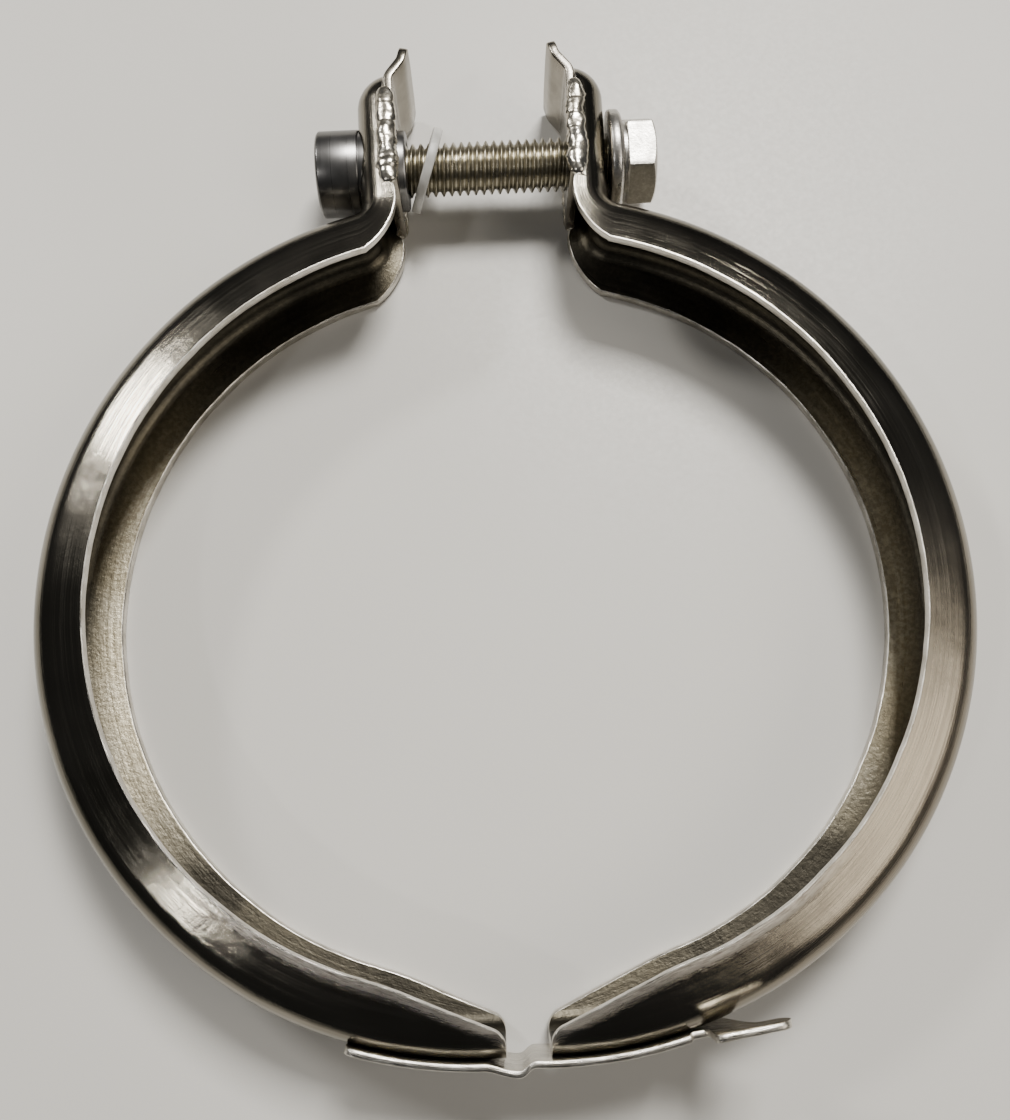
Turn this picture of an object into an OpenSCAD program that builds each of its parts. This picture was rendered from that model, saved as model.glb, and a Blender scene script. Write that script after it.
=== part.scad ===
// Bolted channel clamp: two pressed half-rings joined by a spring strap, drawn together by one bolt.
// Millimetres. The origin lies on the ring's mid-plane, midway between the centres of the two half-rings.
// +Z runs along the ring's axis, +Y points at the bolted ears, +X points at the bolt's head.

/* [Ring] */
// Outside radius of each half-ring, at the crown of the channel
ring_r = 59.4; // [58:0.1:62]
// Radius of the two lips of the channel, which grip the flanges
lip_r = 51.3; // [50.5:0.1:52]
// Half of the channel's width at its lips
half_width = 8.85; // [8.5:0.05:9.5]
// Thickness of the pressed sheet
sheet = 1.5; // [1.2:0.1:1.6]
// Half of the flat along the crown
crown_flat = 3.6; // [3:0.1:4]
// Outside radius of the bend between crown and flange
corner_r = 4.4; // [4:0.1:4.8]

/* [Opening] */
// Distance between the centres of the two half-rings as the clamp stands open
centre_gap = 8.62; // [4:0.1:10]
// Distance between the two shell ends at the strap, measured on each half from the middle
end_gap = 2.74; // [2:0.1:4]

/* [Ears] */
// Distance from the middle to the crown of each ear, at the bolt
ear_reach = 18.65; // [17.5:0.05:20]
// Height of the bolt's axis above the origin
bolt_height = 67.65; // [66.5:0.05:69]
// Lean of each ear towards the other when the halves are concentric, in degrees
ear_lean = 3; // [2:0.1:4]
// Outside radius of the bend from ring to ear
bend_r = 1.6; // [1.2:0.1:2]
// Depth of the ear's channel where the plate is seated
seat_depth = 4.35; // [4:0.05:4.5]
// Depth of the open channel just below the plate
neck_depth = 5.4; // [5:0.1:5.4]
// Radius of the closed, rounded end of the ear
dome_r = 5.4; // [5:0.1:5.8]
// Height at which the rounded end starts, above the bolt
dome_start = 8; // [7:0.1:8.5]

/* [Ear plates] */
// Thickness of the plate that closes each ear
plate = 1.5; // [1.2:0.1:1.6]
// Bottom edge of the plate, below the bolt
plate_drop = 6.8; // [6.5:0.1:7]
// Height above the bolt at which the tongue leaves the plate
tongue_start = 10.4; // [10:0.1:11]
// Bend of the tongue towards the gap, in degrees
tongue_bend = 37; // [30:1:38]
// Bend back near the tongue's tip, in degrees
tongue_return = 22; // [15:1:28]
// Diameter of the keyed hole
key_hole_d = 12.3; // [12.2:0.05:12.4]
// Height of the keyed hole between its two flats
key_hole_flats = 10.8; // [10.7:0.05:11]
// Radius of the weld bead along each side of a plate
bead_r = 1.15; // [0.9:0.05:1.2]

/* [Strap] */
// Thickness of the spring strap
strap = 0.9; // [0.6:0.1:1]
// Edges of the strap along the ring's axis
strap_low = -5.2; // [-5.4:0.1:-4]
strap_high = 6.8; // [5:0.1:6.9]
// Where each half of the strap ends, in degrees round its half-ring
strap_end_left = 21.7; // [20:0.1:23]
strap_end_right = 18.8; // [18:0.1:20]
// Length of the straight end that stands off the right half-ring
lug_length = 12; // [11:0.1:13]
// How far the straight end is bent away from the ring, in degrees
lug_lift = 7; // [5:0.5:9]
// Reach of the lug's tab past the strap's edge
lug_tab = 3.8; // [3:0.1:4]

/* [Bolt] */
// Major diameter of the thread
bolt_d = 8; // [7.9:0.01:8]
// Pitch of the thread
pitch = 1.25; // [1.25:0.05:1.3]
// Length of the bolt under its head
bolt_length = 45; // [44:0.5:46]
// Hexagon across its flats
hex_flats = 12; // [11.5:0.1:13]
// Height of the hexagon
hex_height = 4.4; // [4:0.1:5]
// Outside diameter of the thick washer under the head
washer_d = 15.4; // [14.5:0.1:15.6]
// Thickness of that washer
washer_t = 2.1; // [1.8:0.1:2.3]
// Clearance from the washer to the ear as the clamp stands open
washer_gap = 0.55; // [0.5:0.05:0.6]

/* [Nut and retaining washer] */
// Outside diameter of the round nut
nut_d = 12.8; // [12.6:0.1:13]
// Length of the nut's round head
nut_head = 6.4; // [6:0.1:6.6]
// Diameter of the nut's keyed shank
shank_d = 12; // [11.8:0.05:12.05]
// Height of the shank across its two flats
shank_flats = 10.4; // [10.2:0.05:10.5]
// Outside diameter of the retaining washer
retainer_d = 13; // [12:0.1:13]
// Hole of the retaining washer
retainer_hole = 9.3; // [9.3:0.05:9.4]
// Thickness of the retaining washer
retainer_t = 1.5; // [1:0.1:1.5]
// Tilt of the retaining washer on the bolt, in degrees
retainer_tilt = 19.5; // [18:0.5:19.5]
// Direction of that tilt round the bolt, in degrees
retainer_roll = 42; // [-180:1:180]
// Position of the retaining washer along the bolt
retainer_x = -8.7; // [-8.7:0.05:-8.4]

/* [Hidden] */
$fn = 96;
ring_depth = ring_r - lip_r;
pivot_r = ring_r + 0.02 + strap / 2;
half_open = asin(centre_gap / 2 / pivot_r);
pivot_y = -pivot_r * cos(half_open);
flange_reach = norm([ring_depth - corner_r, half_width - crown_flat]);
flange_len = sqrt(flange_reach * flange_reach - corner_r * corner_r);
flange_aim = atan2(ring_depth - corner_r, half_width - crown_flat);
corner_turn = flange_aim + atan2(corner_r, flange_len);
flange_tip = crown_flat + corner_r * sin(corner_turn);
flange_in = corner_r * (1 - cos(corner_turn));
seat_half = flange_tip + (seat_depth - flange_in) / tan(corner_turn);
ear_rise = bolt_height - pivot_y;
ear_x = ear_reach * cos(half_open) - ear_rise * sin(half_open);
ear_y = ear_reach * sin(half_open) + ear_rise * cos(half_open) - pivot_r;
bend_x0 = ear_x + bend_r * cos(ear_lean);
bend_y0 = ear_y + bend_r * sin(ear_lean);
bend_run = bend_y0 * cos(ear_lean) - bend_x0 * sin(ear_lean);
bend_far = bend_x0 * bend_x0 + bend_y0 * bend_y0 - (ring_r + bend_r) * (ring_r + bend_r);
bend_s = sqrt(bend_run * bend_run - bend_far) - bend_run;
bend_x = bend_x0 - bend_s * sin(ear_lean);
bend_y = bend_y0 + bend_s * cos(ear_lean);
bend_angle = atan2(bend_x, bend_y);
bend_sweep = 90 - bend_angle - ear_lean;
end_angle = asin(end_gap / ring_r);
bend_steps = 7;
ring_lap = 0.05;
joint_lap = 0.05;
bend_inset = 0.02;
lip_trim_r = 11.77;
lip_trim_x = bend_r + 4.66;
lip_trim_y = bend_s + 0.17;
taper_from = [17.5, -48.2];
taper_to = [2.4, -56.17];
tongue_in = 1.5;
tongue_run = 2.2;
tongue_tip = 1.8;
tongue_corner = 1.1;
tongue_top = 16.3;
return_in = 2;
tab_r = 1.7;
tab_from = 2.6;
tab_corner = 0.8;
notch_depth = 1.6;
lug_inset = 0.03;
sweep_from = 3;
sweep_to = 8.6;
head_x = ear_reach + washer_gap + washer_t + 0.05;
collar_h = 0.55;
core_r = bolt_d / 2 - 0.61 * pitch;
turns = floor((bolt_length - 1.2) / pitch);
nut_face = ear_reach + 0.15;
nut_bore_r = bolt_d / 2 + 0.08;
shank_end = ear_reach - 7.05;
web_slot_w = 9.4;
web_slot_l = 11;
web_slot_y = -0.45;
steel = [0.42, 0.41, 0.38];
bright = [0.72, 0.71, 0.68];
zinc = [0.62, 0.58, 0.42];
dark = [0.25, 0.25, 0.24];
nylon = [0.74, 0.73, 0.7];

// Places a piece drawn on a closed half-ring, centred on the origin, where the open right half stands.
module right_half() {
    translate([0, pivot_y, 0])
        rotate([0, 0, -half_open])
            translate([0, pivot_r, 0])
                children();
}

module left_half() {
    mirror([1, 0, 0])
        right_half()
            children();
}

// Ear frame: x points out of the ear's crown, y up the ear, origin on the crown at the bolt.
module on_ear() {
    translate([ear_x, ear_y, 0])
        rotate([0, 0, ear_lean])
            children();
}

// Points of the channel's section: a bend of radius r at the crown's edge, then the flange to a depth.
function bend_point(r, turn) = [corner_r - r * cos(turn), crown_flat + r * sin(turn)];
function lip_point(r, depth) =
    [depth, bend_point(r, corner_turn)[1] + (depth - bend_point(r, corner_turn)[0]) / tan(corner_turn)];
function half_section(r, depth) =
    concat([for (i = [0:bend_steps]) bend_point(r, corner_turn * i / bend_steps)], [lip_point(r, depth)]);
function turned(points) = [for (i = [len(points) - 1:-1:0]) points[i]];
function across(points) = [for (p = points) [p[0], -p[1]]];

// Section of the pressed channel: x runs inwards from the crown, y along the ring's axis.
module channel(depth, inset = 0) {
    outside = half_section(corner_r - inset, depth);
    inside = half_section(corner_r - sheet + inset, depth);
    polygon(concat(across(turned(outside)), outside, turned(inside), across(inside)));
}

module shell_ring() {
    difference() {
        rotate([0, 0, end_angle - 90])
            rotate_extrude(angle = 180 - bend_angle - end_angle + ring_lap)
                translate([ring_r, 0])
                    mirror([1, 0])
                        channel(ring_depth);
        translate([0, 0, -20])
            linear_extrude(40)
                polygon([
                    taper_from,
                    [taper_from[0] + 1.5, taper_from[1] + 4],
                    [0, taper_from[1] + 4],
                    [0, taper_to[1]],
                    taper_to
                ]);
    }
}

module shell_bend() {
    intersection() {
        translate([bend_x, bend_y, 0])
            rotate([0, 0, 180 + ear_lean])
                rotate_extrude(angle = bend_sweep)
                    translate([bend_r, 0])
                        channel(ring_depth - bend_inset, bend_inset);
        on_ear()
            translate([lip_trim_x, lip_trim_y, -20])
                cylinder(r = lip_trim_r, h = 40);
    }
}

module ear_length(top, bottom, depth) {
    translate([0, top, 0])
        rotate([90, 0, 0])
            linear_extrude(top - bottom)
                mirror([1, 0])
                    channel(depth);
}

module shell_ear() {
    on_ear() {
        ear_length(-plate_drop - 0.1, bend_s - joint_lap, neck_depth);
        ear_length(dome_start + joint_lap, -plate_drop - 0.1, seat_depth);
        intersection() {
            translate([-dome_r, dome_start, 0])
                rotate_extrude(angle = 90)
                    translate([dome_r, 0])
                        mirror([1, 0])
                            channel(seat_depth + 0.6, bend_inset);
            translate([-seat_depth, dome_start, -20])
                cube([20, 20, 40]);
        }
    }
}

module key_hole(from, to) {
    intersection() {
        translate([from, 0, 0])
            rotate([0, 90, 0])
                cylinder(d = key_hole_d, h = to - from);
        translate([from, -key_hole_flats / 2, -10])
            cube([to - from, key_hole_flats, 20]);
    }
}

module web_slot() {
    run = (web_slot_l - web_slot_w) / 2;
    translate([-3.2, web_slot_y, 0]) {
        for (y = [-run, run])
            translate([0, y, 0])
                rotate([0, 90, 0])
                    cylinder(d = web_slot_w, h = 5);
        translate([0, -run, -web_slot_w / 2])
            cube([5, 2 * run, web_slot_w]);
    }
}

module shell_body() {
    shell_ring();
    shell_bend();
    shell_ear();
}

module left_shell() {
    color(steel)
        left_half()
            difference() {
                shell_body();
                on_ear()
                    key_hole(-3.2, 2);
            }
}

module right_shell() {
    color(steel)
        right_half()
            difference() {
                shell_body();
                on_ear()
                    web_slot();
            }
}

// Centre line of the plate and its tongue: [x, y, turn towards the gap] at each step.
function along(p, length, turn) = [p[0] - length * sin(turn), p[1] + length * cos(turn), turn];
function swing(p, r, from_turn, to_turn) =
    [for (i = [1:bend_steps]) let (h = from_turn + (to_turn - from_turn) * i / bend_steps)
        [p[0] + r * (cos(h) - cos(from_turn)), p[1] + r * (sin(h) - sin(from_turn)), h]];
function plate_line() =
    let (root = [-seat_depth - plate / 2, tongue_start, 0],
        first = swing(root, tongue_in + plate / 2, 0, tongue_bend),
        run_end = along(first[bend_steps - 1], tongue_run, tongue_bend),
        second = swing(run_end, -return_in - plate / 2, tongue_bend, tongue_bend - tongue_return),
        tip = along(second[bend_steps - 1], tongue_tip, tongue_bend - tongue_return))
    concat([[root[0], -plate_drop, 0], root], first, [run_end], second, [tip]);
function beside(p, d) = [p[0] + d * cos(p[2]), p[1] + d * sin(p[2])];

module ear_plate() {
    line = plate_line();
    difference() {
        intersection() {
            translate([0, 0, -seat_half])
                linear_extrude(2 * seat_half)
                    polygon(concat(
                        [for (p = line) beside(p, plate / 2)],
                        [for (p = turned(line)) beside(p, -plate / 2)]
                    ));
            plate_outline();
        }
        key_hole(-10, 0);
    }
}

// Outline of the plate seen from the gap, with the tongue's two outer corners rounded.
module plate_outline() {
    corner_y = tongue_top - tongue_corner;
    corner_z = seat_half - tongue_corner;
    side = [for (i = [0:bend_steps]) let (a = 90 * i / bend_steps)
        [corner_y + tongue_corner * sin(a), corner_z + tongue_corner * cos(a)]];
    translate([-12, 0, 0])
        rotate([90, 0, 90])
            linear_extrude(12)
                polygon(concat([[-plate_drop - 1, seat_half + 1], [corner_y, seat_half + 1]], side,
                    across(turned(side)), [[corner_y, -seat_half - 1], [-plate_drop - 1, -seat_half - 1]]));
}

module left_ear_plate() {
    color(steel)
        left_half()
            on_ear()
                ear_plate();
}

module right_ear_plate() {
    color(steel)
        right_half()
            on_ear()
                ear_plate();
}

// Lumpy bead along the seam between a plate's edge and the channel's lip, on the +Z side.
module weld_bead() {
    bead_x = -seat_depth - plate / 2;
    intersection() {
        union() {
            translate([bead_x, 8.6, seat_half])
                rotate([90, 0, 0])
                    cylinder(r = bead_r, h = 15.2);
            for (i = [0:6])
                translate([bead_x, 8 - 2.3 * i, seat_half])
                    sphere(r = bead_r + 0.12 + 0.05 * i);
        }
        translate([-8, -7.6, seat_half + 0.03])
            cube([6, 18, 4]);
    }
}

module left_weld_near() {
    color(bright)
        left_half()
            on_ear()
                weld_bead();
}

module left_weld_far() {
    color(bright)
        left_half()
            on_ear()
                mirror([0, 0, 1])
                    weld_bead();
}

module right_weld_near() {
    color(bright)
        right_half()
            on_ear()
                weld_bead();
}

module right_weld_far() {
    color(bright)
        right_half()
            on_ear()
                mirror([0, 0, 1])
                    weld_bead();
}

// Curved length of strap on a half-ring, from near the flex line to an angle past it.
module strap_arc(to_angle) {
    from_angle = 0.4;
    rotate([0, 0, from_angle - 90])
        rotate_extrude(angle = to_angle - from_angle)
            translate([ring_r + 0.02, strap_low])
                square([strap, strap_high - strap_low]);
}

module hinge_strap_left() {
    color(bright)
        left_half()
            strap_arc(strap_end_left);
}

// Lower edge of the lug, which sweeps up into a narrow tab.
function lug_low(x) =
    let (t = max(0, min(1, (x - sweep_from) / (sweep_to - sweep_from))))
    strap_low + (strap_high + lug_tab - 2 * tab_r - strap_low) * t * t * (3 - 2 * t);
function arc_points(x, y, r, from, to, count) =
    [for (i = [0:count]) let (a = from + (to - from) * i / count) [x + r * cos(a), y + r * sin(a)]];

module lug_outline() {
    top = strap_high + lug_tab;
    notch = strap_high - notch_depth;
    polygon(concat(
        [[0, strap_low]],
        [for (i = [0:8]) let (x = sweep_from + (sweep_to - sweep_from) * i / 8) [x, lug_low(x)]],
        arc_points(lug_length - tab_r, top - tab_r, tab_r, -90, 90, 12),
        arc_points(tab_from + tab_corner, top - tab_corner, tab_corner, 90, 180, 4),
        [[tab_from, notch + 0.5], [tab_from - 0.5, notch], [0.6, notch], [0.1, strap_high], [0, strap_high]]
    ));
}

module hinge_strap_right() {
    color(bright)
        right_half() {
            strap_arc(strap_end_right);
            rotate([0, 0, strap_end_right - 90])
                translate([ring_r + 0.02 + lug_inset, -0.1, 0])
                    rotate([0, 0, -lug_lift])
                        rotate([90, 0, 90])
                            linear_extrude(strap - 2 * lug_inset)
                                lug_outline();
        }
}

// Flat nuggets that hold the strap to a half-ring.
module strap_nuggets() {
    for (a = [7, 14])
        rotate([0, 0, a - 90])
            translate([ring_r + strap + 0.06, 0, 0.8])
                rotate([0, 90, 0])
                    cylinder(d1 = 4.4, d2 = 3.6, h = 0.25);
}

module strap_welds_left() {
    color(bright)
        left_half()
            strap_nuggets();
}

module strap_welds_right() {
    color(bright)
        right_half()
            strap_nuggets();
}

module clamp_nut() {
    color(dark)
        translate([0, bolt_height, 0])
            rotate([0, -90, 0])
                difference() {
                    union() {
                        translate([0, 0, nut_face])
                            cylinder(d = nut_d, h = nut_head - 0.4);
                        translate([0, 0, nut_face + nut_head - 0.4])
                            cylinder(d1 = nut_d, d2 = nut_d - 0.8, h = 0.4);
                        intersection() {
                            translate([0, 0, shank_end])
                                cylinder(d = shank_d, h = nut_face - shank_end + 1);
                            translate([-10, -shank_flats / 2, shank_end])
                                cube([20, shank_flats, nut_face - shank_end + 1]);
                        }
                    }
                    cylinder(r = nut_bore_r, h = 40);
                }
}

// Thread as a row of ridges: root, crest and root again at every pitch.
module thread_profile() {
    crest_r = bolt_d / 2;
    root_flat = pitch / 8;
    rotate_extrude()
        polygon(concat(
            [[0, 0], [core_r, 0]],
            [for (i = [0:turns - 1]) for (k = [0:3])
                [(k == 1 || k == 2) ? crest_r : core_r,
                    0.6 + pitch * i + [root_flat, pitch / 2 - pitch / 16,
                        pitch / 2 + pitch / 16, pitch - root_flat][k]]],
            [[core_r, bolt_length], [0, bolt_length]]
        ));
}

module clamp_bolt() {
    color(zinc)
        translate([head_x, bolt_height, 0])
            rotate([0, -90, 0])
                thread_profile();
    color(zinc)
        translate([head_x, bolt_height, 0])
            rotate([0, 90, 0]) {
                cylinder(d1 = hex_flats + 1.2, d2 = hex_flats, h = collar_h);
                intersection() {
                    translate([0, 0, collar_h - 0.1])
                        rotate([0, 0, 8])
                            cylinder(d = hex_flats / cos(30), h = hex_height + 0.1, $fn = 6);
                    translate([0, 0, collar_h - 0.1])
                        cylinder(r1 = hex_flats, r2 = hex_flats / 2 - 0.1, h = hex_height + 0.1 + hex_flats * 0.02);
                }
            }
}

module bolt_washer() {
    color(bright)
        translate([ear_reach + washer_gap, bolt_height, 0])
            rotate([0, 90, 0])
                difference() {
                    union() {
                        cylinder(d = washer_d, h = washer_t - 0.5);
                        translate([0, 0, washer_t - 0.5])
                            cylinder(d1 = washer_d, d2 = washer_d - 1.4, h = 0.5);
                    }
                    translate([0, 0, -1])
                        cylinder(d = bolt_d + 0.4, h = washer_t + 2);
                }
}

module retaining_washer() {
    color(nylon)
        translate([retainer_x, bolt_height, 0])
            rotate([retainer_roll, 0, 0])
                rotate([0, 90, -retainer_tilt])
                    translate([0, 0, -retainer_t / 2])
                        difference() {
                            cylinder(d = retainer_d, h = retainer_t);
                            translate([0, 0, -1])
                                cylinder(d = retainer_hole, h = retainer_t + 2);
                        }
}

left_shell();
right_shell();
left_ear_plate();
right_ear_plate();
left_weld_near();
left_weld_far();
right_weld_near();
right_weld_far();
hinge_strap_left();
hinge_strap_right();
strap_welds_left();
strap_welds_right();
clamp_nut();
clamp_bolt();
bolt_washer();
retaining_washer();
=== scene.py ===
import math

import bpy
from mathutils import Matrix, Vector, noise


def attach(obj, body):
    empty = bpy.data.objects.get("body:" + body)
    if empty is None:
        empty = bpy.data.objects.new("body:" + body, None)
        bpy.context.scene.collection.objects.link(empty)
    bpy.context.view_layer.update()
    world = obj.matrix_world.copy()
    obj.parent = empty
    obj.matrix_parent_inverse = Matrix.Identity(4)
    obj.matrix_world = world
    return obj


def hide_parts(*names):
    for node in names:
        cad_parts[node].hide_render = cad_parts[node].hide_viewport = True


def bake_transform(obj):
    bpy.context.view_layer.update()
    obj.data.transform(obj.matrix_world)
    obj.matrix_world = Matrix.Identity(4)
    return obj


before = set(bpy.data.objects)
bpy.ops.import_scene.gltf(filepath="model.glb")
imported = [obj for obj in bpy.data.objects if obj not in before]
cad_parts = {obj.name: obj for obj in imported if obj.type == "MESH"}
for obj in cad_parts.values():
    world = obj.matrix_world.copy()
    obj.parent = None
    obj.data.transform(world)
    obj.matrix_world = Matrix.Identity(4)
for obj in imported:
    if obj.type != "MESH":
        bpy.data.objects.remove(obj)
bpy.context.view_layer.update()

MM = 0.001

# Ring and channel, in millimetres, as in the CAD model.
RING_R = 59.4
LIP_R = 51.3
HALF_WIDTH = 8.85
SHEET = 1.5
CROWN_FLAT = 3.6
CORNER_R = 4.4
CENTRE_GAP = 8.62
END_GAP = 2.74
RING_DEPTH = RING_R - LIP_R

# Ears.
EAR_REACH = 18.65
BOLT_HEIGHT = 67.65
EAR_LEAN = math.radians(3)
BEND_R = 1.6
SEAT_DEPTH = 4.35
NECK_DEPTH = 5.4
DOME_R = 5.4
DOME_START = 8.0
PLATE = 1.5
PLATE_DROP = 6.8
TONGUE_START = 10.4
TONGUE_BEND = math.radians(37)
TONGUE_RETURN = math.radians(22)
TONGUE_IN = 1.5
TONGUE_RUN = 2.2
TONGUE_TIP = 1.8
TONGUE_TOP = 16.3
TONGUE_CORNER = 1.1
RETURN_IN = 2.0
KEY_HOLE_R = 6.15
KEY_HOLE_FLAT = 5.4
BEAD_R = 1.15

# Strap.
STRAP = 0.9
STRAP_LOW = -5.2
STRAP_HIGH = 6.8
STRAP_END_LEFT = math.radians(21.7)
STRAP_END_RIGHT = math.radians(18.8)
LUG_LENGTH = 12.0
LUG_TAB = 3.8
LUG_LIFT = math.radians(7)
LUG_BEND = 1.2

# Bolt, nut and washers.
BOLT_R = 4.0
PITCH = 1.25
BOLT_LENGTH = 45.0
HEX_FLATS = 12.0
HEX_HEIGHT = 4.4
COLLAR = 0.55
WASHER_R = 7.7
WASHER_T = 2.1
WASHER_GAP = 0.55
HEAD_X = EAR_REACH + WASHER_GAP + WASHER_T + 0.05
NUT_R = 6.4
NUT_HEAD = 6.4
NUT_FACE = EAR_REACH + 0.15
NUT_BORE_R = BOLT_R + 0.08
SHANK_R = 6.0
SHANK_FLAT = 5.2
SHANK_END = EAR_REACH - 7.05
RETAINER_R = 6.5
RETAINER_HOLE_R = 4.65
RETAINER_T = 1.5
RETAINER_TILT = math.radians(19.5)
RETAINER_X = -8.7
RETAINER_ROLL = math.radians(42)


# ---------------------------------------------------------------- shapes shared by the pieces

def polar(r, a):
    return Vector((r * math.cos(a), r * math.sin(a)))


def lerp(a, b, t):
    return a + (b - a) * t


def smooth(t):
    t = min(max(t, 0.0), 1.0)
    return t * t * (3 - 2 * t)


def steps(a, b, count):
    return [lerp(a, b, i / (count - 1)) for i in range(count)]


def rough_noise(x, y=0.0, z=0.0):
    return noise.noise(Vector((x, y, z)))


FLANGE_REACH = math.hypot(RING_DEPTH - CORNER_R, HALF_WIDTH - CROWN_FLAT)
FLANGE_LEN = math.sqrt(FLANGE_REACH**2 - CORNER_R**2)
CORNER_TURN = (math.atan2(RING_DEPTH - CORNER_R, HALF_WIDTH - CROWN_FLAT)
               + math.atan2(CORNER_R, FLANGE_LEN))
FLANGE_SLOPE = 1 / math.tan(CORNER_TURN)
PIVOT_R = RING_R + 0.02 + STRAP / 2
HALF_OPEN = math.asin(CENTRE_GAP / 2 / PIVOT_R)
PIVOT_Y = -PIVOT_R * math.cos(HALF_OPEN)
SEAT_HALF = (CROWN_FLAT + CORNER_R * math.sin(CORNER_TURN)
             + (SEAT_DEPTH - CORNER_R * (1 - math.cos(CORNER_TURN))) * FLANGE_SLOPE)
EAR_RISE = BOLT_HEIGHT - PIVOT_Y
EAR = Vector((EAR_REACH * math.cos(HALF_OPEN) - EAR_RISE * math.sin(HALF_OPEN),
              EAR_REACH * math.sin(HALF_OPEN) + EAR_RISE * math.cos(HALF_OPEN) - PIVOT_R))
EAR_TURN = Matrix.Rotation(EAR_LEAN, 2)
BEND_FOOT = EAR + polar(BEND_R, EAR_LEAN)
BEND_RUN = BEND_FOOT.y * math.cos(EAR_LEAN) - BEND_FOOT.x * math.sin(EAR_LEAN)
BEND_S = math.sqrt(BEND_RUN**2 - (BEND_FOOT.length_squared - (RING_R + BEND_R)**2)) - BEND_RUN
BEND = BEND_FOOT + BEND_S * Vector((-math.sin(EAR_LEAN), math.cos(EAR_LEAN)))
BEND_ANGLE = math.atan2(BEND.x, BEND.y)
END_ANGLE = math.asin(END_GAP / RING_R)


def on_ear(x, y):
    """A point of the ear's own frame, in the half-ring's frame."""
    return EAR + EAR_TURN @ Vector((x, y))


def half_matrix(side):
    """Places a piece drawn on the half-ring's own centre: side is 1 on the right and -1 on the left."""
    place = (Matrix.Translation((0, PIVOT_Y, 0)) @ Matrix.Rotation(-HALF_OPEN, 4, "Z")
             @ Matrix.Translation((0, PIVOT_R, 0)))
    return place if side > 0 else Matrix.Scale(-1, 4, (1, 0, 0)) @ place


def new_object(name, verts, faces, materials, indices, uvs=None, sharp=32, flip=False, places=None):
    """A mesh object from points in millimetres, with smooth faces and sharp creases."""
    mesh = bpy.data.meshes.new(name)
    mesh.from_pydata([tuple(c * MM for c in v) for v in verts], [], faces)
    for m in materials:
        mesh.materials.append(m)
    mesh.polygons.foreach_set("material_index", indices)
    mesh.polygons.foreach_set("use_smooth", [True] * len(faces))
    if uvs:
        layer = mesh.uv_layers.new(name="Along")
        layer.data.foreach_set("uv", [c for face in uvs for uv in face for c in uv])
    if places:
        layer = mesh.uv_layers.new(name="Place")
        layer.data.foreach_set("uv", [c for face in faces for v in face for c in places[v]])
    if flip:
        mesh.flip_normals()
    mesh.validate()
    mesh.set_sharp_from_angle(angle=math.radians(sharp))
    obj = bpy.data.objects.new(name, mesh)
    bpy.context.scene.collection.objects.link(obj)
    return obj


def sweep(name, rows, materials, pick=None, closed=True, caps=True, sharp=32, flip=False, cap_pick=0,
          places=None):
    """Joins rows of points, each one section, into a skin. UVs are lengths in millimetres."""
    count = len(rows[0])
    verts = [p for row in rows for p in row]
    faces, indices, uvs = [], [], []
    mid = rows[len(rows) // 2]
    across = [0.0]
    for j in range(count):
        across.append(across[-1] + (Vector(mid[(j + 1) % count]) - Vector(mid[j])).length)
    along = [0.0]
    for a, b in zip(rows, rows[1:]):
        along.append(along[-1] + (sum((Vector(q) for q in b), Vector((0, 0, 0)))
                                  - sum((Vector(q) for q in a), Vector((0, 0, 0)))).length / count)
    for i in range(len(rows) - 1):
        for j in range(count if closed else count - 1):
            k = (j + 1) % count
            faces.append((i * count + j, (i + 1) * count + j, (i + 1) * count + k, i * count + k))
            indices.append(pick(i, j) if pick else 0)
            uvs.append([(along[i], across[j]), (along[i + 1], across[j]),
                        (along[i + 1], across[j + 1]), (along[i], across[j + 1])])
    if caps:
        last = (len(rows) - 1) * count
        for ring in (list(range(count)), [last + j for j in range(count - 1, -1, -1)]):
            faces.append(tuple(ring))
            indices.append(cap_pick)
            uvs.append([(along[0 if ring[0] < count else -1], across[j % count]) for j in range(count)])
    return new_object(name, verts, faces, materials, indices, uvs, sharp, flip, places)


def lathe(profile, segments, axis_x, shape=None):
    """Rows of points turned about the bolt's axis: profile holds (distance along X, radius)."""
    rows = []
    for along, r in profile:
        row = []
        for j in range(segments):
            a = 2 * math.pi * j / segments
            x, q = (along, r) if shape is None else shape(along, r, a)
            row.append((axis_x + x, BOLT_HEIGHT + q * math.cos(a), q * math.sin(a)))
        rows.append(row)
    return rows


def placed(rows, matrix):
    return [[tuple(matrix @ Vector(p)) for p in row] for row in rows]


# ---------------------------------------------------------------- materials

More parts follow.
